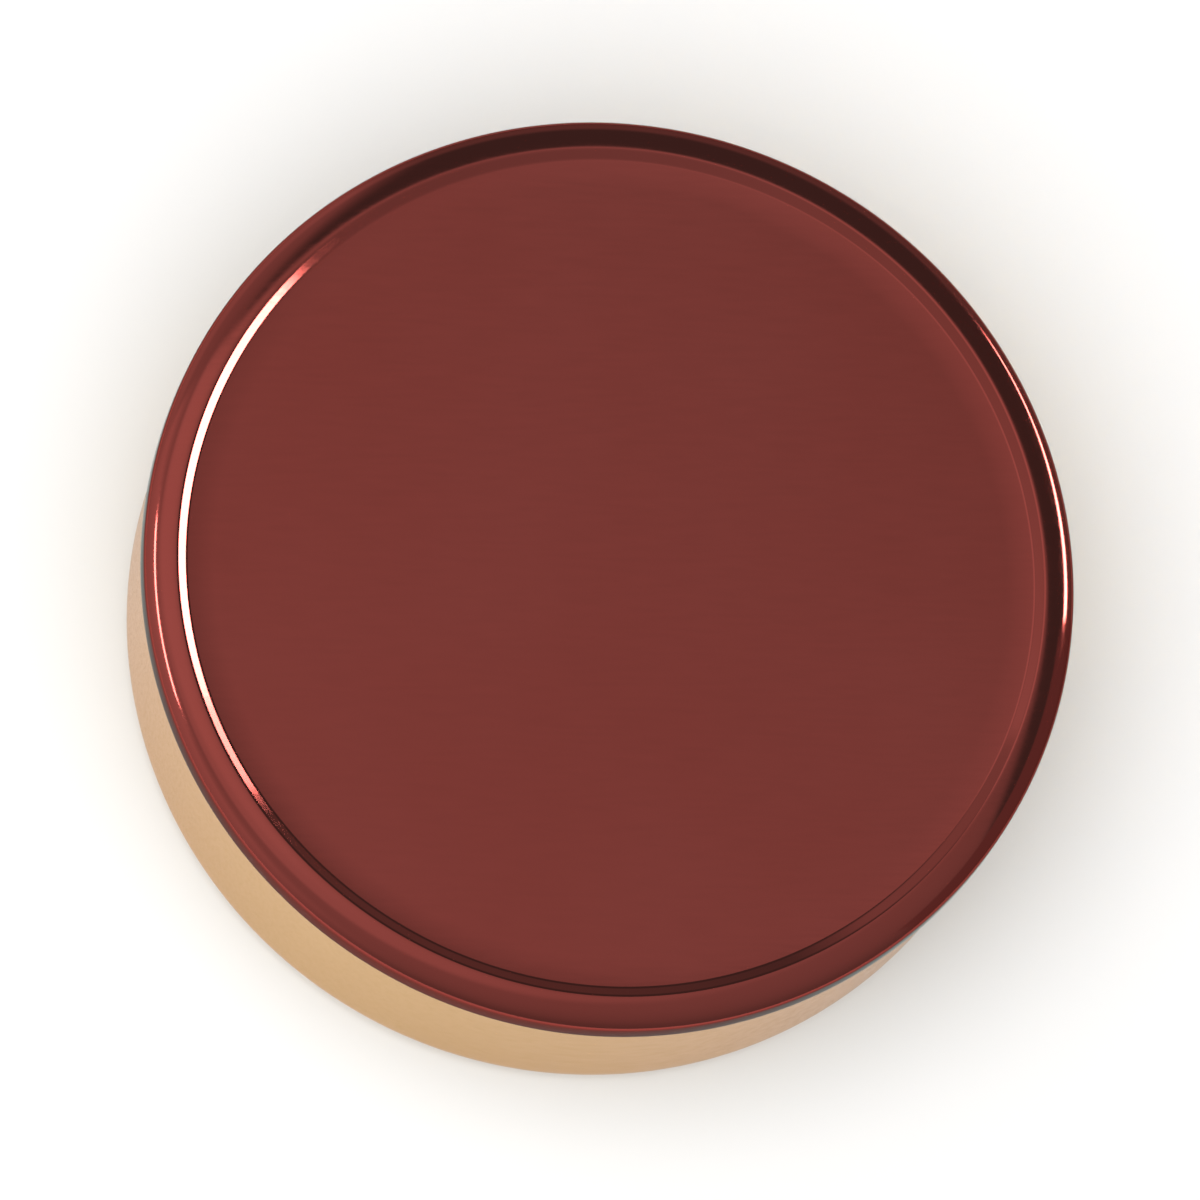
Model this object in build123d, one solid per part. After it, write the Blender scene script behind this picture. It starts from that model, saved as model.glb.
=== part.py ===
from build123d import *

import os
from math import cos, radians, sin, tan

# A round slip-lid tin of solid shoe polish. Millimetres, +Z up. The tin's axis is the Z axis, and it
# stands on Z = 0 on the foot ring under its can. Every piece is a turned section: a closed outline in
# (radius, height), spun round the axis.

# Sheet metal
sheet = 0.25             # tinplate thickness of the lid and of the can
fit = 0.05               # slide-fit gap between the lid's hem and the can's wall
step_slope = 30          # steepest slope, in degrees, of every step pressed in a panel
step_bend = 0.35         # radius of its two bends, on the tin's outside
curl_turn = 270          # how far the rim and the hem are rolled round, in degrees

# Can
can_radius = 34.0        # outside of the straight wall
rim_height = 20.3        # top of the curled rim
rim_curl_radius = 0.6    # outside radius of the curl, which turns inward
corner_radius = 3.0      # outside bend between the wall and the foot ring
foot_width = 1.8         # flat of the foot ring
foot_rise = 0.8          # height of the countersunk bottom above the foot ring
bottom_ring_radius = 19.0    # outer edge of the stiffening step in the bottom
bottom_ring_rise = 0.3

# Lid
lid_radius = 35.0        # outside of the skirt, the widest part of the tin
lid_bottom = 18.0        # lower edge of the skirt's hem
skirt_height = 2.1       # straight part of the skirt, hem included
shoulder_width = 2.3     # from the skirt in to the crest of the raised rim
shoulder_height = 1.4    # from the top of the skirt up to the crest
panel_recess = 0.41      # depth of the flat panel below the crest

# Sealing ring, in the channel under the lid's raised rim
ring_inner_radius = 32.4
ring_outer_radius = 34.3  # more than the hem's inside, so the ring can't drop out of the lid
ring_side_height = 0.3
ring_height = 0.62       # in the middle of its dome
ring_gap = 0.08          # to the can's rim below it

# Polish
fill_height = 15.0       # polish surface near the wall
dish_depth = 0.35        # how much lower it set in the middle
meniscus_width = 1.4     # the polish climbs the wall over this width
meniscus_height = 0.6
wax_gap = 0.02           # the set wax is this far off the metal

# Worked out from the above
crest_radius = lid_radius - shoulder_width
crest_height = lid_bottom + skirt_height + shoulder_height
panel_height = crest_height - panel_recess
hem_curl_radius = (lid_radius - can_radius - fit) / 2
foot_outer_radius = can_radius - corner_radius
foot_inner_radius = foot_outer_radius - foot_width


def step_width(rise):
    """The radial width of a pressed step that climbs by rise: two bends and the cone between them."""
    slope = radians(step_slope)
    cone_rise = rise - 2 * step_bend * (1 - cos(slope))
    return 2 * step_bend * sin(slope) + cone_rise / tan(slope)


def sheet_step(high, rise, outward, lift):
    """A step pressed in the sheet, from its high end down by rise.

    high is the (radius, height) of that end on the face at lift 0. outward is 1 for a step that
    climbs away from the axis and -1 for one that climbs towards it. lift moves the step to the
    parallel face that far above.
    """
    slope = radians(step_slope)
    low = (high[0] - outward * step_width(rise), high[1] - rise)
    head_radius = step_bend + lift
    foot_radius = step_bend - lift
    head = (high[0] - outward * head_radius * sin(slope), high[1] + lift - head_radius * (1 - cos(slope)))
    foot = (low[0] + outward * foot_radius * sin(slope), low[1] + lift + foot_radius * (1 - cos(slope)))
    return [
        TangentArc((high[0], high[1] + lift), head, tangent=(-outward, 0)),
        Line(head, foot),
        TangentArc((low[0], low[1] + lift), foot, tangent=(outward, 0)),
    ]


def rolled_edge(centre, radius, turn):
    """A sheet edge rolled round into a curl: its outer arc, its cut end and its inner arc."""
    outer = CenterArc(centre, radius, 0, turn)
    inner = CenterArc(centre, radius - sheet, 0, turn)
    return [outer, Line(outer @ 1, inner @ 1), inner]


def turned(edges):
    """The solid that a closed (radius, height) outline sweeps round the Z axis."""
    return revolve(Plane.XZ * make_face(edges), Axis.Z)


def bottom_edges(lift):
    """The can's bottom from the axis out to the wall, on the face lift above its underside."""
    ring_high = (bottom_ring_radius - step_width(bottom_ring_rise), foot_rise + bottom_ring_rise)
    foot_high = (foot_inner_radius - step_width(foot_rise), foot_rise)
    corner_centre = (foot_outer_radius, corner_radius)
    return [
        Line((0, ring_high[1] + lift), (ring_high[0], ring_high[1] + lift)),
        *sheet_step(ring_high, bottom_ring_rise, -1, lift),
        Line((bottom_ring_radius, foot_rise + lift), (foot_high[0], foot_rise + lift)),
        *sheet_step(foot_high, foot_rise, -1, lift),
        Line((foot_inner_radius, lift), (foot_outer_radius, lift)),
        CenterArc(corner_centre, corner_radius - lift, -90, 90),
    ]


def base_can():
    """The drawn can: countersunk bottom, straight wall, and a rim curled inward."""
    centre_height = foot_rise + bottom_ring_rise
    curl_height = rim_height - rim_curl_radius
    curl_centre = (can_radius - rim_curl_radius, curl_height)
    inside = can_radius - sheet
    return turned([
        *bottom_edges(0),
        Line((can_radius, corner_radius), (can_radius, curl_height)),
        *rolled_edge(curl_centre, rim_curl_radius, curl_turn),
        Line((inside, curl_height), (inside, corner_radius)),
        *bottom_edges(sheet),
        Line((0, centre_height), (0, centre_height + sheet)),
    ])


def polish_cake():
    """The set wax polish, which fills the can to below its rim, a little dished and with a meniscus."""
    lift = sheet + wax_gap
    wax_radius = can_radius - lift
    dish = TangentArc(
        (0, fill_height - dish_depth),
        (wax_radius - meniscus_width, fill_height),
        tangent=(1, 0),
    )
    meniscus = TangentArc(dish @ 1, (wax_radius, fill_height + meniscus_height), tangent=dish % 1)
    return turned([
        *bottom_edges(lift),
        Line((wax_radius, corner_radius), meniscus @ 1),
        meniscus,
        dish,
        Line(dish @ 0, (0, foot_rise + bottom_ring_rise + lift)),
    ])


def sealing_ring():
    """The soft ring that the can's rim presses on, domed to sit up in the lid's channel."""
    low = rim_height + ring_gap
    side = low + ring_side_height
    crown = ((ring_inner_radius + ring_outer_radius) / 2, low + ring_height)
    return turned([
        Line((ring_inner_radius, low), (ring_outer_radius, low)),
        Line((ring_outer_radius, low), (ring_outer_radius, side)),
        ThreePointArc((ring_outer_radius, side), crown, (ring_inner_radius, side)),
        Line((ring_inner_radius, side), (ring_inner_radius, low)),
    ])


def lid_top_edges(lift):
    """The lid's top from the axis out to the skirt, on the face lift above its outside."""
    panel_radius = crest_radius - step_width(panel_recess)
    return [
        Line((0, panel_height + lift), (panel_radius, panel_height + lift)),
        *sheet_step((crest_radius, crest_height), panel_recess, 1, lift),
        EllipticalCenterArc(
            (crest_radius, crest_height - shoulder_height),
            shoulder_width + lift,
            shoulder_height + lift,
            arc_size=90,
        ),
    ]


def lid_shell():
    """The pressed lid: recessed panel, rounded raised rim, short skirt and a hem rolled inward."""
    skirt_top = crest_height - shoulder_height
    hem_height = lid_bottom + hem_curl_radius
    hem_centre = (lid_radius - hem_curl_radius, hem_height)
    inside = lid_radius - sheet
    return turned([
        *lid_top_edges(0),
        Line((lid_radius, skirt_top), (lid_radius, hem_height)),
        *rolled_edge(hem_centre, hem_curl_radius, -curl_turn),
        Line((inside, hem_height), (inside, skirt_top)),
        *lid_top_edges(-sheet),
        Line((0, panel_height - sheet), (0, panel_height)),
    ])


nodes = {
    "base_can": base_can(),
    "polish_cake": polish_cake(),
    "sealing_ring": sealing_ring(),
    "lid_shell": lid_shell(),
}

os.makedirs("parts", exist_ok=True)
for name, solid in nodes.items():
    solid.label = name
    export_step(solid, f"parts/{name}.step")
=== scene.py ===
import random
from math import cos, hypot, pi, radians, sin, tan

import bmesh
import bpy
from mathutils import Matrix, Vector


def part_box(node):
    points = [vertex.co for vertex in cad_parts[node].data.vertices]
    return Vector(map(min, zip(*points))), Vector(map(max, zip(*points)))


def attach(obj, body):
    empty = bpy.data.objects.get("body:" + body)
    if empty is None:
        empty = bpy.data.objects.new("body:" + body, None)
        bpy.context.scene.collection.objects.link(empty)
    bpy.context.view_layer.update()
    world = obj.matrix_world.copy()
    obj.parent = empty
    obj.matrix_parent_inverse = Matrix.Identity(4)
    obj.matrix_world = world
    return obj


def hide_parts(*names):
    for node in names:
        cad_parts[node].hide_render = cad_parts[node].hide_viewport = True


# Looks for a round slip-lid tin of solid shoe polish. Metres, +Z up, the tin's axis on the Z axis,
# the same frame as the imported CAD. Every piece is a turned shape: an outline in (radius, height),
# spun round the axis. Azimuths are measured from +X towards +Y, elevations from the horizon.

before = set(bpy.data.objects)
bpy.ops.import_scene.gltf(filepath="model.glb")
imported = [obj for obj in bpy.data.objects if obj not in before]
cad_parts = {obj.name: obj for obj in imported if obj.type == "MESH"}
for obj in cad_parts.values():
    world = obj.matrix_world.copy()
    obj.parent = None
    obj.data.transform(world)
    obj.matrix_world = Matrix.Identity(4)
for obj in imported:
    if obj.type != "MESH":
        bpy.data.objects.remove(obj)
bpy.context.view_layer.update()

MM = 0.001

# ---------------------------------------------------------------- sizes

LID_LOW_CORNER, LID_TOP_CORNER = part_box("lid_shell")
_, CAN_TOP_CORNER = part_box("base_can")
RING_LOW_CORNER, RING_TOP_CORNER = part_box("sealing_ring")
CAKE_LOW_CORNER, CAKE_TOP_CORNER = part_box("polish_cake")

LID_RADIUS = LID_TOP_CORNER.x
CREST_HEIGHT = LID_TOP_CORNER.z
LID_BOTTOM = LID_LOW_CORNER.z
CAN_RADIUS = CAN_TOP_CORNER.x
RIM_HEIGHT = CAN_TOP_CORNER.z

# Sheet metal
SHEET = 0.25 * MM
FIT = 0.05 * MM
STEP_SLOPE = radians(30)
STEP_BEND = 0.35 * MM
CURL_TURN = 270

# Lid
SHOULDER_WIDTH = 2.3 * MM
SHOULDER_HEIGHT = 1.4 * MM
PANEL_RECESS = 0.41 * MM
CREST_RADIUS = LID_RADIUS - SHOULDER_WIDTH
HEM_CURL_RADIUS = (LID_RADIUS - CAN_RADIUS - FIT) / 2

# Can
RIM_CURL_RADIUS = 0.6 * MM
CORNER_RADIUS = 3.0 * MM
FOOT_WIDTH = 1.8 * MM
FOOT_RISE = 0.8 * MM
BOTTOM_RING_RADIUS = 19.0 * MM
BOTTOM_RING_RISE = 0.3 * MM
FOOT_OUTER_RADIUS = CAN_RADIUS - CORNER_RADIUS
FOOT_INNER_RADIUS = FOOT_OUTER_RADIUS - FOOT_WIDTH

# Sealing ring
RING_SIDE_HEIGHT = 0.3 * MM
RING_SAG = 0.09 * MM             # how far the poured dome drops at its lowest

# Polish
DISH_DEPTH = 0.35 * MM
MENISCUS_WIDTH = 1.4 * MM
MENISCUS_HEIGHT = 0.6 * MM
MENISCUS_POWER = 2.2             # how late it climbs: 1 would be a straight cone
WAX_LIFT = CAKE_LOW_CORNER.z
RIPPLE_HEIGHT = 0.02 * MM        # half of crest to trough
RIPPLE_LENGTH = 1.7 * MM         # along a radius, for one radian of a ripple
RIPPLE_SWIRL = 0.6               # how far out of round the ripples are, in radians of a ripple
RIPPLE_CENTRE = 3 * MM           # the ripples fade out inside this radius
RIPPLE_FADE = 4                  # and over the outer 1/4 of the dish

# How worn the metal is, from 0 to 1
FOOT_WEAR = 0.2
HEM_WEAR = 0.3
RIM_WEAR = 0.5

# How finely the outlines are drawn
SEGMENTS = 288
ARC_STEP = 5
BEND_STEPS = 6
DOME_STEPS = 16
MENISCUS_STEPS = 12
CONE_SPACING = 0.06 * MM
DISH_SPACING = 0.5 * MM
WALL_SPACING = 1 * MM
PANEL_SPACING = 2 * MM
BOTTOM_SPACING = 3 * MM
SAME_POINT = 1e-7                # points nearer than this are one point
SHARP_ANGLE = radians(40)        # faces that meet at more than this have an edge

# ---------------------------------------------------------------- outlines


def arc(centre, radii, start, turn):
    """Points along an arc or a stretch of an ellipse, in degrees from the +radius direction."""
    steps = max(2, round(abs(turn) / ARC_STEP))
    points = []
    for i in range(steps + 1):
        angle = radians(start + turn * i / steps)
        points.append((centre[0] + radii[0] * cos(angle), centre[1] + radii[1] * sin(angle)))
    return points


def stretch(start, end, spacing):
    """Points along a straight stretch, its end left out."""
    length = hypot(end[0] - start[0], end[1] - start[1])
    steps = max(1, round(length / spacing))
    return [
        (start[0] + (end[0] - start[0]) * i / steps, start[1] + (end[1] - start[1]) * i / steps)
        for i in range(steps)
    ]


def step_width(rise):
    """The radial width of a pressed step that climbs by rise: two bends and the cone between them."""
    cone_rise = rise - 2 * STEP_BEND * (1 - cos(STEP_SLOPE))
    return 2 * STEP_BEND * sin(STEP_SLOPE) + cone_rise / tan(STEP_SLOPE)


def sheet_step(high, rise, outward, lift):
    """Points of a step pressed in the sheet, from its high end down by rise.

    outward is 1 for a step that climbs away from the axis and -1 for one that climbs towards it.
    lift moves the step to the parallel face that far above.
    """
    low = (high[0] - outward * step_width(rise), high[1] - rise)
    head_radius = STEP_BEND + lift
    foot_radius = STEP_BEND - lift
    tilts = [STEP_SLOPE * i / BEND_STEPS for i in range(BEND_STEPS + 1)]
    head = [
        (high[0] - outward * head_radius * sin(t), high[1] + lift - head_radius * (1 - cos(t)))
        for t in tilts
    ]
    foot = [
        (low[0] + outward * foot_radius * sin(t), low[1] + lift + foot_radius * (1 - cos(t)))
        for t in tilts
    ]
    return head + stretch(head[-1], foot[-1], CONE_SPACING)[1:] + foot[::-1]


# ---------------------------------------------------------------- turned meshes


def turned(name, sections, materials, relief=None):
    """The piece whose mesh an outline sweeps round the axis.

    sections is a list of (material index, wear, points), one after another along the outline. wear
    is kept on the mesh for the materials to read. relief(radius, angle, height) gives a height to
    add to a point.
    """
    points, slots, wears = [], [], []
    for material_index, wear, section in sections:
        for point in section:
            if points and hypot(point[0] - points[-1][0], point[1] - points[-1][1]) < SAME_POINT:
                continue
            points.append(point)
            slots.append(material_index)
            wears.append(wear)
    closed = points[0][0] > 0

    mesh_data = bmesh.new()
    wear_layer = mesh_data.verts.layers.float.new("wear")
    loops = []
    for (radius, height), wear in zip(points, wears):
        count = SEGMENTS if radius > 0 else 1
        loop = []
        for i in range(count):
            angle = 2 * pi * i / SEGMENTS
            lift = relief(radius, angle, height) if relief else 0
            vertex = mesh_data.verts.new((radius * cos(angle), radius * sin(angle), height + lift))
            vertex[wear_layer] = wear
            loop.append(vertex)
        loops.append(loop)

    pairs = list(zip(loops, loops[1:], slots[1:]))
    if closed:
        pairs.append((loops[-1], loops[0], slots[0]))
    for inner, outer, material_index in pairs:
        for i in range(SEGMENTS):
            j = (i + 1) % SEGMENTS
            sides = (inner, i), (outer, i), (outer, j), (inner, j)
            corners = dict.fromkeys(loop[k % len(loop)] for loop, k in sides)
            face = mesh_data.faces.new(list(corners))
            face.material_index = material_index
            face.smooth = True
    bmesh.ops.recalc_face_normals(mesh_data, faces=mesh_data.faces)

    mesh = bpy.data.meshes.new(name)
    mesh_data.to_mesh(mesh)
    mesh_data.free()
    mesh.set_sharp_from_angle(angle=SHARP_ANGLE)
    for material in materials:
        mesh.materials.append(material)
    piece = bpy.data.objects.new(name, mesh)
    bpy.context.scene.collection.objects.link(piece)
    return piece


def stands_for(piece, node, body):
    """piece moves with a CAD body and is shown in place of a CAD node."""
    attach(piece, body)
    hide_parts(node)


def lid_top(lift):
    """The lid's panel, step and shoulder, from the axis out, on the face lift above its outside."""
    panel_radius = CREST_RADIUS - step_width(PANEL_RECESS)
    panel_height = CREST_HEIGHT - PANEL_RECESS + lift
    panel = stretch((0, panel_height), (panel_radius, panel_height), PANEL_SPACING)
    step = sheet_step((CREST_RADIUS, CREST_HEIGHT), PANEL_RECESS, 1, lift)[::-1]
    shoulder = arc(
        (CREST_RADIUS, CREST_HEIGHT - SHOULDER_HEIGHT),
        (SHOULDER_WIDTH + lift, SHOULDER_HEIGHT + lift),
        90,
        -90,
    )
    return panel, step, shoulder


def lid_piece(outside, inside):
    """The pressed lid: recessed panel, rounded raised rim, short skirt and a hem rolled inward."""
    panel, step, shoulder = lid_top(0)
    under_panel, under_step, under_shoulder = lid_top(-SHEET)
    hem_centre = (LID_RADIUS - HEM_CURL_RADIUS, LID_BOTTOM + HEM_CURL_RADIUS)
    hem_inside = HEM_CURL_RADIUS - SHEET
    hem = arc(hem_centre, (HEM_CURL_RADIUS, HEM_CURL_RADIUS), 0, -CURL_TURN)
    hem_lining = arc(hem_centre, (hem_inside, hem_inside), 0, -CURL_TURN)[::-1]
    return turned("lid_pressing", [
        (0, 0, panel),
        (0, 0, step),
        (0, 0, shoulder),
        (0, HEM_WEAR, hem),
        (1, HEM_WEAR, hem_lining),
        (1, 0, under_shoulder[::-1]),
        (1, 0, under_step[::-1]),
        (1, 0, under_panel[::-1]),
    ], [outside, inside])


def bottom(lift):
    """The can's bottom from the axis out to the wall, on the face lift above its underside."""
    ring_high = (BOTTOM_RING_RADIUS - step_width(BOTTOM_RING_RISE), FOOT_RISE + BOTTOM_RING_RISE)
    foot_high = (FOOT_INNER_RADIUS - step_width(FOOT_RISE), FOOT_RISE)
    middle = (0, ring_high[1] + lift), (ring_high[0], ring_high[1] + lift)
    surround = (BOTTOM_RING_RADIUS, FOOT_RISE + lift), (foot_high[0], FOOT_RISE + lift)
    corner = CORNER_RADIUS - lift
    return [
        *stretch(*middle, BOTTOM_SPACING),
        *sheet_step(ring_high, BOTTOM_RING_RISE, -1, lift),
        *stretch(*surround, BOTTOM_SPACING),
        *sheet_step(foot_high, FOOT_RISE, -1, lift),
        *arc((FOOT_OUTER_RADIUS, CORNER_RADIUS), (corner, corner), -90, 90),
    ]


def can_piece(finish):
    """The drawn can: countersunk bottom, straight wall, and a rim curled inward."""
    curl_centre = (CAN_RADIUS - RIM_CURL_RADIUS, RIM_HEIGHT - RIM_CURL_RADIUS)
    curl_inside = RIM_CURL_RADIUS - SHEET
    outside = (CAN_RADIUS, CORNER_RADIUS), (CAN_RADIUS, curl_centre[1])
    inside = (CAN_RADIUS - SHEET, curl_centre[1]), (CAN_RADIUS - SHEET, CORNER_RADIUS)
    return turned("can_body", [
        (0, FOOT_WEAR, bottom(0)),
        (0, 0, stretch(*outside, WALL_SPACING)),
        (0, RIM_WEAR, arc(curl_centre, (RIM_CURL_RADIUS, RIM_CURL_RADIUS), 0, CURL_TURN)),
        (0, RIM_WEAR, arc(curl_centre, (curl_inside, curl_inside), 0, CURL_TURN)[::-1]),
        (0, 0, stretch(*inside, WALL_SPACING)),
        (0, 0, bottom(SHEET)[::-1]),
    ], [finish])


def ring_edges():
    """Inner and outer radius of the sealing ring, from its CAD mesh."""
    radii = [hypot(v.co.x, v.co.y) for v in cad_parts["sealing_ring"].data.vertices]
    return min(radii), max(radii)


def seal_piece(finish):
    """The sealing compound in the lid's channel: poured in, so its dome is a little uneven."""
    rng = random.Random(7)
    waves = [(lobes, rng.uniform(0, 2 * pi)) for lobes in (3, 7, 13, 29)]
    low, high = RING_LOW_CORNER.z, RING_TOP_CORNER.z
    inner, outer = ring_edges()
    side = low + RING_SIDE_HEIGHT
    middle = (inner + outer) / 2
    half_width = (outer - inner) / 2
    dome = []
    for i in range(DOME_STEPS + 1):
        share = 2 * i / DOME_STEPS - 1
        dome.append((middle - share * half_width, side + (high - side) * (1 - share**2)))

    def uneven(radius, angle, height):
        wave = sum(sin(lobes * angle + phase) for lobes, phase in waves) / len(waves)
        return -RING_SAG * (1 + wave) / 2 * max(0, (height - side) / (high - side))

    return turned("seal_compound", [
        (0, 0, stretch((inner, low), (outer, low), RING_SIDE_HEIGHT)),
        (0, 0, stretch((outer, low), (outer, side), RING_SIDE_HEIGHT / 2)),
        (0, 0, dome),
    ], [finish], uneven)


def cake_piece(finish):
    """The set polish: a dished satin surface with faint cooling ripples and a climbing edge."""
    rng = random.Random(11)
    waves = [(lobes, rng.uniform(0, 2 * pi), rng.uniform(-60, 60)) for lobes in (2, 3, 5, 8)]
    wax_radius = CAKE_TOP_CORNER.x
    edge_height = CAKE_TOP_CORNER.z
    fill_height = edge_height - MENISCUS_HEIGHT
    dish_radius = wax_radius - MENISCUS_WIDTH
    under_surface = fill_height - 1.01 * DISH_DEPTH

    surface = []
    for radius, _ in stretch((0, 0), (dish_radius, 0), DISH_SPACING):
        surface.append((radius, fill_height - DISH_DEPTH * (1 - (radius / dish_radius) ** 2)))
    for i in range(MENISCUS_STEPS + 1):
        share = i / MENISCUS_STEPS
        climb = MENISCUS_HEIGHT * share**MENISCUS_POWER
        surface.append((dish_radius + MENISCUS_WIDTH * share, fill_height + climb))

    def ripples(radius, angle, height):
        if height < under_surface:
            return 0
        inward = max(0, 1 - radius / dish_radius)
        swirl = sum(sin(lobes * angle + phase + turn * radius) for lobes, phase, turn in waves)
        rings = sin(radius / RIPPLE_LENGTH + RIPPLE_SWIRL * swirl)
        return -RIPPLE_HEIGHT * (1 + rings) * min(1, RIPPLE_FADE * inward) * min(1, radius / RIPPLE_CENTRE)

    return turned("wax_cake", [
        (0, 0, bottom(WAX_LIFT)),
        (0, 0, stretch((wax_radius, CORNER_RADIUS), (wax_radius, edge_height), WALL_SPACING)),
        (0, 0, surface[::-1]),
    ], [finish], ripples)


# ---------------------------------------------------------------- shader nodes


def new_material(name):
    """A material with a Principled shader. Returns it, its node tree and the shader."""
    material = bpy.data.materials.new(name)
    material.use_nodes = True
    return material, material.node_tree, material.node_tree.nodes["Principled BSDF"]


def add_node(tree, kind, **settings):
    """A new node of a kind, with its settings."""
    node = tree.nodes.new(kind)
    for key, value in settings.items():
        setattr(node, key, value)
    return node


def noise(tree, position, scale, detail=3, stretch_by=(1, 1, 1)):
    """A noise value at a number of features per metre, its pattern stretched along the axes."""
    mapping = add_node(tree, "ShaderNodeMapping")
    mapping.inputs["Scale"].default_value = stretch_by
    tree.links.new(position, mapping.inputs["Vector"])
    texture = add_node(tree, "ShaderNodeTexNoise")
    texture.inputs["Scale"].default_value = scale
    texture.inputs["Detail"].default_value = detail
    tree.links.new(mapping.outputs["Vector"], texture.inputs["Vector"])
    return texture.outputs["Fac"]


def remap(tree, value, limits, results=(0, 1)):
    """value held within limits, and moved from that range to the range of results."""
    node = add_node(tree, "ShaderNodeMapRange", clamp=True)
    node.inputs["From Min"].default_value = limits[0]
    node.inputs["From Max"].default_value = limits[1]
    node.inputs["To Min"].default_value = results[0]
    node.inputs["To Max"].default_value = results[1]
    tree.links.new(value, node.inputs["Value"])
    return node.outputs["Result"]


def combine(tree, operation, first, second):
    """A sum, product or other result of two values, each a number or a socket."""
    node = add_node(tree, "ShaderNodeMath", operation=operation)
    for socket, value in zip(node.inputs, (first, second)):
        if isinstance(value, (int, float)):
            socket.default_value = value
        else:
            tree.links.new(value, socket)
    return node.outputs["Value"]


def blend_colours(tree, share, first, second):
    """A colour from first to second as share goes from 0 to 1, each a tuple or a socket."""
    node = add_node(tree, "ShaderNodeMix", data_type="RGBA")
    tree.links.new(share, node.inputs["Factor"])
    for name, value in (("A", first), ("B", second)):
        socket = next(s for s in node.inputs if s.name == name and s.type == "RGBA")
        if isinstance(value, tuple):
            socket.default_value = (*value, 1)
        else:
            tree.links.new(value, socket)
    return next(s for s in node.outputs if s.type == "RGBA")


def bump(tree, height, distance, below=None):
    """The surface normal with a relief that is distance high, on top of the normal below."""
    node = add_node(tree, "ShaderNodeBump")
    node.inputs["Distance"].default_value = distance
    node.inputs["Strength"].default_value = 1
    tree.links.new(height, node.inputs["Height"])
    if below is not None:
        tree.links.new(below, node.inputs["Normal"])
    return node.outputs["Normal"]


def object_position(tree):
    return add_node(tree, "ShaderNodeTexCoord").outputs["Object"]


# ---------------------------------------------------------------- materials


def lacquered_tin(name, tint, thin_tint, bare, edge_tint, roughness, grain, wavy):
    """Transparent coloured lacquer over bright tinplate, worn a little where the metal is bent.

    bare is the colour of the worn spots and edge_tint the tint of reflections at a grazing angle.
    grain is the height of the fine relief and wavy that of the broad one.
    """
    material, tree, shader = new_material(name)
    position = object_position(tree)
    wear = add_node(tree, "ShaderNodeAttribute", attribute_name="wear").outputs["Fac"]

    depth = remap(tree, noise(tree, position, scale=38, detail=4), (0.3, 0.7))
    lacquer = blend_colours(tree, depth, tint, thin_tint)
    speckle = remap(tree, noise(tree, position, scale=2600, detail=2), (0.6, 0.72))
    rubbed = combine(tree, "MULTIPLY", speckle, wear)
    colour = blend_colours(tree, rubbed, lacquer, bare)

    hairlines = noise(tree, position, scale=260, detail=2, stretch_by=(1, 14, 6))
    satin = remap(tree, hairlines, (0.35, 0.7), (roughness * 0.85, roughness * 1.25))
    rubbed_satin = combine(tree, "MULTIPLY", rubbed, 0.2)
    rough = combine(tree, "ADD", satin, rubbed_satin)

    waves = bump(tree, noise(tree, position, scale=55, detail=2), wavy)
    rolling_lines = noise(tree, position, scale=700, detail=2, stretch_by=(1, 9, 1))
    rolled = bump(tree, rolling_lines, grain, waves)
    peel = bump(tree, noise(tree, position, scale=1400), grain, rolled)

    shader.inputs["Metallic"].default_value = 1
    shader.inputs["Specular Tint"].default_value = (*edge_tint, 1)
    tree.links.new(colour, shader.inputs["Base Color"])
    tree.links.new(rough, shader.inputs["Roughness"])
    tree.links.new(peel, shader.inputs["Normal"])
    return material


def sealing_rubber():
    """Cured off-white sealing compound: matte, with fine pores and a faintly stained skin."""
    clean, stained = (0.60, 0.57, 0.50), (0.47, 0.42, 0.34)
    material, tree, shader = new_material("seal_compound")
    position = object_position(tree)
    stain = remap(tree, noise(tree, position, scale=260, detail=4), (0.35, 0.7))
    pores = noise(tree, position, scale=3800, detail=2)
    rough = remap(tree, pores, (0.3, 0.7), (0.5, 0.68))
    tree.links.new(blend_colours(tree, stain, clean, stained), shader.inputs["Base Color"])
    tree.links.new(rough, shader.inputs["Roughness"])
    tree.links.new(bump(tree, pores, 0.02 * MM), shader.inputs["Normal"])
    return material


def wax():
    """Hard wax polish: a satin skin over a deep burgundy body, with fine bloom and pinholes."""
    deep, cloudy = (0.060, 0.009, 0.008), (0.085, 0.016, 0.013)
    material, tree, shader = new_material("wax_polish")
    position = object_position(tree)
    clouds = remap(tree, noise(tree, position, scale=90, detail=5), (0.35, 0.7))
    bloom = noise(tree, position, scale=900, detail=4)
    rough = remap(tree, bloom, (0.3, 0.75), (0.26, 0.42))
    skin = bump(tree, noise(tree, position, scale=240), 0.03 * MM)
    pinholes = remap(tree, noise(tree, position, scale=1900, detail=1), (0.22, 0.32))
    pitted = bump(tree, pinholes, 0.015 * MM, skin)
    tree.links.new(blend_colours(tree, clouds, deep, cloudy), shader.inputs["Base Color"])
    tree.links.new(rough, shader.inputs["Roughness"])
    tree.links.new(pitted, shader.inputs["Normal"])
    shader.inputs["Coat Weight"].default_value = 0.25
    shader.inputs["Coat Roughness"].default_value = 0.2
    return material


# ---------------------------------------------------------------- studio


def direction(azimuth, elevation):
    """The unit vector that points that way."""
    a, e = radians(azimuth), radians(elevation)
    return Vector((cos(e) * cos(a), cos(e) * sin(a), sin(e)))


# Camera
CAMERA_AZIMUTH = 240.38
CAMERA_ELEVATION = 72.93
VIEW_DISTANCE = 60 * LID_RADIUS
VIEW_WIDTH = 2.555 * LID_RADIUS      # what the frame covers at the lid
VIEW_OFFSET = (0.0115 * LID_RADIUS, 0.0373 * LID_RADIUS)     # the lid's, right and up of its middle

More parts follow.
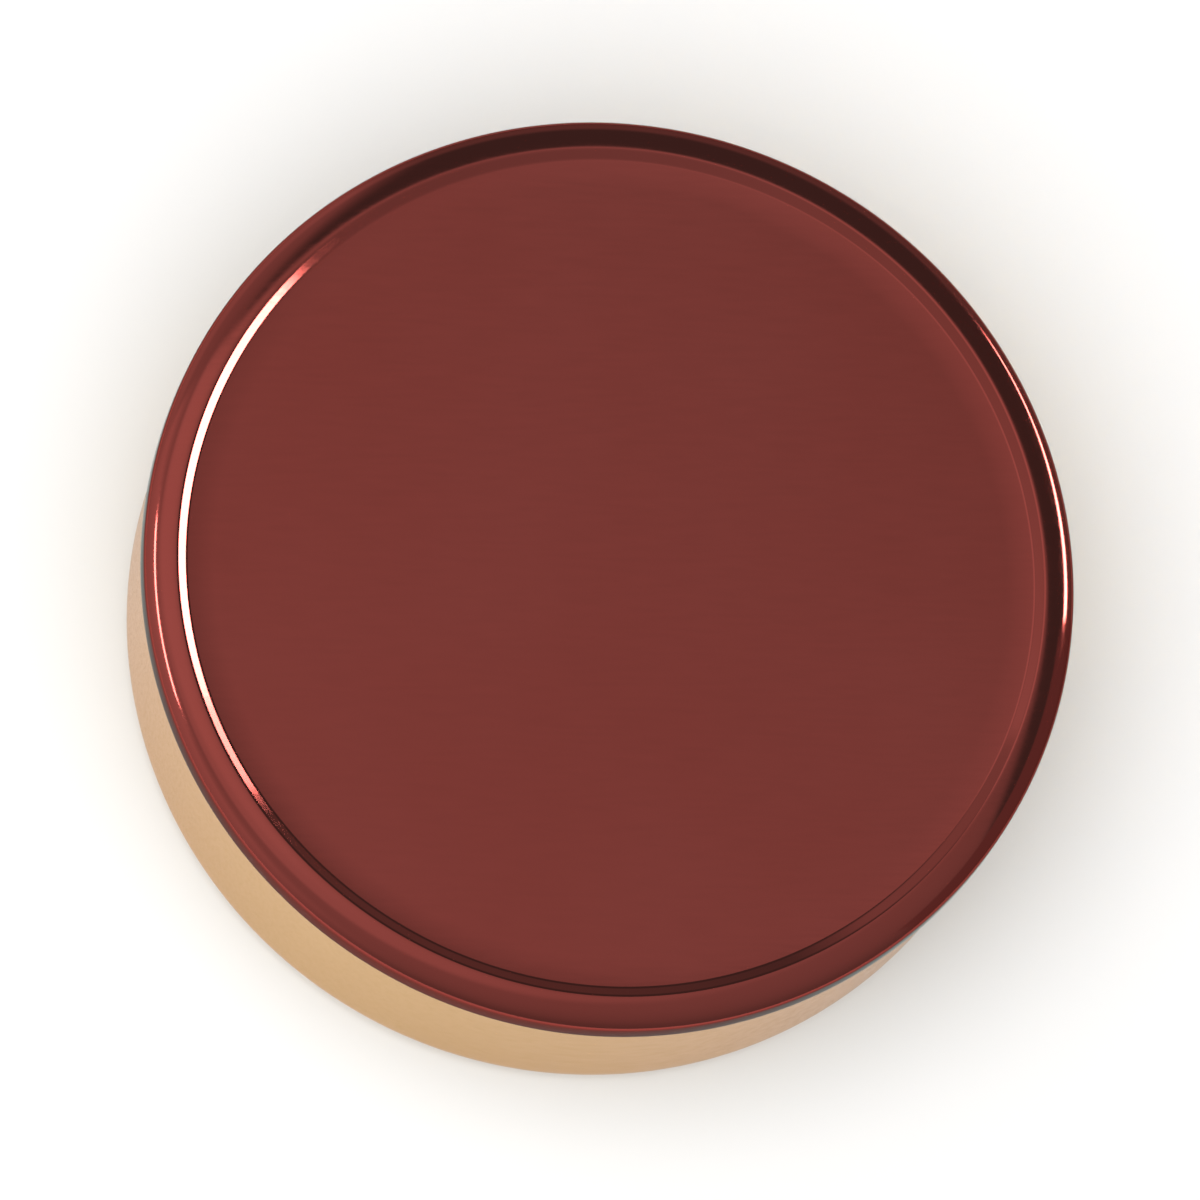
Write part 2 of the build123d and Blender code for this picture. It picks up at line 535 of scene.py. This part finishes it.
# Floor, and the backdrop that the camera sees behind it
BACKDROP = 1.0
FLOOR_RADIUS = 3.0
FLOOR_SEGMENTS = 96
CARD_RADIUS = 0.085
FLOOR_ALBEDO = 0.86
FLOOR_DARKER = 0.99                  # the darker side of its faint mottle

# The room, in linear RGB
DARK_SIDE = (0.125, 0.205, 0.205)    # as the tin reflects it
ROOM_LIGHT = (0.2, 0.195, 0.19)      # as the floor and the matte pieces see it

# In what follows, a height is the sine of an elevation.

# The big overhead reflector: which side of its straight edge it is on, how soft that edge is, and its
# strength at the horizon and straight up
REFLECTOR_SIDE = direction(240, 19.5)
REFLECTOR_SOFTNESS = 0.02
REFLECTOR_STRENGTH = (0.22, 0.48)
# Its brighter patches: azimuth, elevation, inner and outer angle, strength
REFLECTOR_GLOWS = [(150, 72, 20, 28, 0.32), (130, 68, 10, 22, 0.2), (175, 20, 20, 96, 0.12)]

# A band of light round the horizon, past the reflector's edge, and the heights that it fades between
HORIZON_STRENGTH = 0.22
HORIZON_FADE = (0.2, 0.4)

# The bright wall on the left: a glow as above, which side of its upright end it is on, how soft that
# end is, and the heights between which it gives way to the reflector
WALL_GLOW = (150, 0, 30, 100, 0.5)
WALL_SIDE = direction(194, 0)
WALL_SOFTNESS = 0.08
WALL_FADE = (0.45, 0.75)

# The sun that lights the floor and the matte pieces
KEY_FROM = direction(235, 68)
KEY_STRENGTH = 2.4
KEY_SIZE = radians(70)

# The strip lamp: azimuth, elevation and half height in degrees, along its length
STRIP_STATIONS = [(-24, 32, 2), (-10, 29, 5), (5, 25, 6.5), (20, 20, 6), (32, 15.5, 2.7), (41, 14.7, 1.2)]
STRIP_DISTANCE = 2.0
STRIP_RADIANCE = 22

# The upright grey card in front of it
FLAG_X = 70 * MM
FLAG_Y = (-60 * MM, 4.5 * MM)
FLAG_Z = (CREST_HEIGHT - 30 * MM, CREST_HEIGHT + 34 * MM)
FLAG_RADIANCE = 0.3

# The bar on the left
BAR_LENGTH = 46 * MM
BAR_WIDTH = 7 * MM
BAR_PLACE = (-95 * MM, 8 * MM, CREST_HEIGHT + 46 * MM)
BAR_RADIANCE = 16


def facing(tree, vector, axis):
    """How much a direction faces along an axis: the cosine of the angle between them."""
    node = add_node(tree, "ShaderNodeVectorMath", operation="DOT_PRODUCT")
    node.inputs[1].default_value = axis
    tree.links.new(vector, node.inputs[0])
    return node.outputs["Value"]


def glow(tree, vector, azimuth, elevation, inner, outer, strength):
    """Light from round a direction: full within inner degrees of it, none beyond outer."""
    node = add_node(tree, "ShaderNodeMapRange", interpolation_type="SMOOTHSTEP")
    node.inputs["From Min"].default_value = cos(radians(outer))
    node.inputs["From Max"].default_value = cos(radians(inner))
    node.inputs["To Max"].default_value = strength
    tree.links.new(facing(tree, vector, direction(azimuth, elevation)), node.inputs["Value"])
    return node.outputs["Result"]


def one_side(tree, vector, axis, softness):
    """1 on the side that an axis points to, 0 on the other, with a soft edge between them."""
    return remap(tree, facing(tree, vector, axis), (-softness, softness))


def reflector_light(tree, vector, height):
    """The strength of the big reflector, brighter overhead and at its patches."""
    light = remap(tree, height, (0, 1), REFLECTOR_STRENGTH)
    for patch in REFLECTOR_GLOWS:
        light = combine(tree, "ADD", light, glow(tree, vector, *patch))
    return light


def room_light(tree, vector):
    """What the reflector, the horizon and the wall add to the room's own light."""
    height = facing(tree, vector, Vector((0, 0, 1)))
    under_reflector = one_side(tree, vector, REFLECTOR_SIDE, REFLECTOR_SOFTNESS)
    past_reflector = combine(tree, "SUBTRACT", 1, under_reflector)
    beside_wall = one_side(tree, vector, WALL_SIDE, WALL_SOFTNESS)
    horizon = remap(tree, height, HORIZON_FADE, (HORIZON_STRENGTH, 0))
    below_reflector = remap(tree, height, WALL_FADE, (1, 0))
    clear_of_reflector = combine(tree, "MAXIMUM", below_reflector, past_reflector)
    wall = combine(tree, "MULTIPLY", glow(tree, vector, *WALL_GLOW), clear_of_reflector)
    parts = [
        combine(tree, "MULTIPLY", reflector_light(tree, vector, height), under_reflector),
        combine(tree, "MULTIPLY", horizon, past_reflector),
        combine(tree, "MULTIPLY", wall, beside_wall),
    ]
    return combine(tree, "ADD", combine(tree, "ADD", parts[0], parts[1]), parts[2])


def studio_surroundings():
    """A room with one big overhead reflector, a bright left side and a plain pale backdrop."""
    world = bpy.data.worlds.new("studio")
    bpy.context.scene.world = world
    world.use_nodes = True
    tree = world.node_tree
    tree.nodes.clear()
    vector = add_node(tree, "ShaderNodeTexCoord").outputs["Generated"]
    path = add_node(tree, "ShaderNodeLightPath")

    room = add_node(tree, "ShaderNodeBackground")
    room_colour = blend_colours(tree, path.outputs["Is Glossy Ray"], ROOM_LIGHT, DARK_SIDE)
    tree.links.new(room_colour, room.inputs["Color"])
    lit = add_node(tree, "ShaderNodeBackground")
    tree.links.new(room_light(tree, vector), lit.inputs["Strength"])
    both = add_node(tree, "ShaderNodeAddShader")
    tree.links.new(room.outputs[0], both.inputs[0])
    tree.links.new(lit.outputs[0], both.inputs[1])

    backdrop = add_node(tree, "ShaderNodeBackground")
    backdrop.inputs["Strength"].default_value = BACKDROP
    chosen = add_node(tree, "ShaderNodeMixShader")
    tree.links.new(path.outputs["Is Camera Ray"], chosen.inputs["Fac"])
    tree.links.new(both.outputs[0], chosen.inputs[1])
    tree.links.new(backdrop.outputs[0], chosen.inputs[2])
    output = add_node(tree, "ShaderNodeOutputWorld")
    tree.links.new(chosen.outputs[0], output.inputs["Surface"])


def flat_mesh(name, corners, faces, material):
    """A mesh of flat faces that belongs to the studio and not to the tin."""
    mesh = bpy.data.meshes.new(name)
    mesh.from_pydata(corners, [], faces)
    mesh.materials.append(material)
    thing = bpy.data.objects.new(name, mesh)
    bpy.context.scene.collection.objects.link(thing)
    return thing


def floor():
    """A pale matte floor. Only the card under the tin is seen in reflections."""
    material, tree, shader = new_material("pale_floor")
    shader.inputs["Roughness"].default_value = 0.9
    shader.inputs["Specular IOR Level"].default_value = 0.0
    mottle = noise(tree, object_position(tree), scale=30)
    shade = blend_colours(tree, mottle, (FLOOR_ALBEDO,) * 3, (FLOOR_ALBEDO * FLOOR_DARKER,) * 3)
    tree.links.new(shade, shader.inputs["Base Color"])

    count = FLOOR_SEGMENTS
    angles = [2 * pi * i / count for i in range(count)]
    card_edge = [(CARD_RADIUS * cos(a), CARD_RADIUS * sin(a), 0) for a in angles]
    floor_edge = [(FLOOR_RADIUS * cos(a), FLOOR_RADIUS * sin(a), 0) for a in angles]
    flat_mesh("card", card_edge, [list(range(count))], material)
    quads = [(i, (i + 1) % count, count + (i + 1) % count, count + i) for i in range(count)]
    table = flat_mesh("table", card_edge + floor_edge, quads, material)
    table.visible_glossy = False


def key_light():
    """A broad soft key that lights the floor and the matte pieces, not seen in reflections."""
    light = bpy.data.lights.new("key", "SUN")
    light.energy = KEY_STRENGTH
    light.angle = KEY_SIZE
    lamp = bpy.data.objects.new("key", light)
    lamp.rotation_mode = "QUATERNION"
    lamp.rotation_quaternion = Vector((0, 0, 1)).rotation_difference(KEY_FROM)
    lamp.visible_glossy = False
    bpy.context.scene.collection.objects.link(lamp)


def emitter(name, radiance, corners, faces):
    """A sheet that gives light of its own and is seen in reflections only."""
    material = bpy.data.materials.new(name)
    material.use_nodes = True
    material.cycles.emission_sampling = "NONE"
    tree = material.node_tree
    tree.nodes.clear()
    emission = add_node(tree, "ShaderNodeEmission")
    emission.inputs["Strength"].default_value = radiance
    output = add_node(tree, "ShaderNodeOutputMaterial")
    tree.links.new(emission.outputs[0], output.inputs["Surface"])
    sheet = flat_mesh(name, corners, faces, material)
    sheet.visible_camera = False
    sheet.visible_diffuse = False
    sheet.visible_shadow = False


def right_lamp():
    """A curved strip of light low on the right, which dips and narrows towards both ends."""
    corners = []
    for azimuth, elevation, half_height in STRIP_STATIONS:
        for edge in (-half_height, half_height):
            corners.append(STRIP_DISTANCE * direction(azimuth, elevation + edge))
    faces = [(i, i + 1, i + 3, i + 2) for i in range(0, len(corners) - 2, 2)]
    emitter("right_lamp", STRIP_RADIANCE, corners, faces)


def right_flag():
    """A grey card that keeps part of the right lamp off the near side of the lid."""
    corners = [(FLAG_X, y, z) for y in FLAG_Y for z in FLAG_Z]
    emitter("right_flag", FLAG_RADIANCE, corners, [(0, 1, 3, 2)])


def left_lamp():
    """A small bright bar close to the left of the lid."""
    light = bpy.data.lights.new("left_bar", "AREA")
    light.shape = "RECTANGLE"
    light.size = BAR_LENGTH
    light.size_y = BAR_WIDTH
    light.energy = BAR_RADIANCE * pi * light.size * light.size_y
    lamp = bpy.data.objects.new("left_bar", light)
    lamp.location = BAR_PLACE
    aim = lamp.location - Vector((-LID_RADIUS, 0, CREST_HEIGHT))
    lamp.rotation_mode = "QUATERNION"
    lamp.rotation_quaternion = aim.to_track_quat("Z", "Y")
    lamp.visible_camera = False
    lamp.visible_diffuse = False
    bpy.context.scene.collection.objects.link(lamp)


def camera():
    """Looks down at the lid, leaning to its near left, with +X to the right of the picture."""
    data = bpy.data.cameras.new("camera")
    data.lens = data.sensor_width * VIEW_DISTANCE / VIEW_WIDTH
    data.clip_start = 0.1 * VIEW_DISTANCE
    data.clip_end = 100 * VIEW_DISTANCE
    seen_from = bpy.data.objects.new("camera", data)
    turn = Vector((0, 0, 1)).rotation_difference(direction(CAMERA_AZIMUTH, CAMERA_ELEVATION))
    target = Vector((0, 0, LID_BOTTOM))
    seen_from.rotation_mode = "QUATERNION"
    seen_from.rotation_quaternion = turn
    seen_from.location = target + turn @ Vector((-VIEW_OFFSET[0], -VIEW_OFFSET[1], VIEW_DISTANCE))
    bpy.context.scene.collection.objects.link(seen_from)
    bpy.context.scene.camera = seen_from


# ---------------------------------------------------------------- the tin

burgundy = lacquered_tin(
    "burgundy_lacquer",
    tint=(0.305, 0.055, 0.045),
    thin_tint=(0.319, 0.061, 0.051),
    bare=(0.55, 0.40, 0.36),
    edge_tint=(0.3, 0.42, 0.42),
    roughness=0.11,
    grain=0.0002 * MM,
    wavy=0.003 * MM,
)
gold = lacquered_tin(
    "gold_lacquer",
    tint=(0.53, 0.35, 0.12),
    thin_tint=(0.57, 0.39, 0.15),
    bare=(0.75, 0.70, 0.62),
    edge_tint=(1.0, 0.85, 0.83),
    roughness=0.2,
    grain=0.0001 * MM,
    wavy=0.004 * MM,
)

stands_for(lid_piece(burgundy, gold), "lid_shell", "lid")
stands_for(can_piece(gold), "base_can", "base")
stands_for(seal_piece(sealing_rubber()), "sealing_ring", "seal")
stands_for(cake_piece(wax()), "polish_cake", "base")

studio_surroundings()
floor()
key_light()
right_lamp()
right_flag()
left_lamp()
camera()

view = bpy.context.scene.view_settings
view.view_transform = "Standard"
view.look = "None"
view.exposure = 0
view.gamma = 1
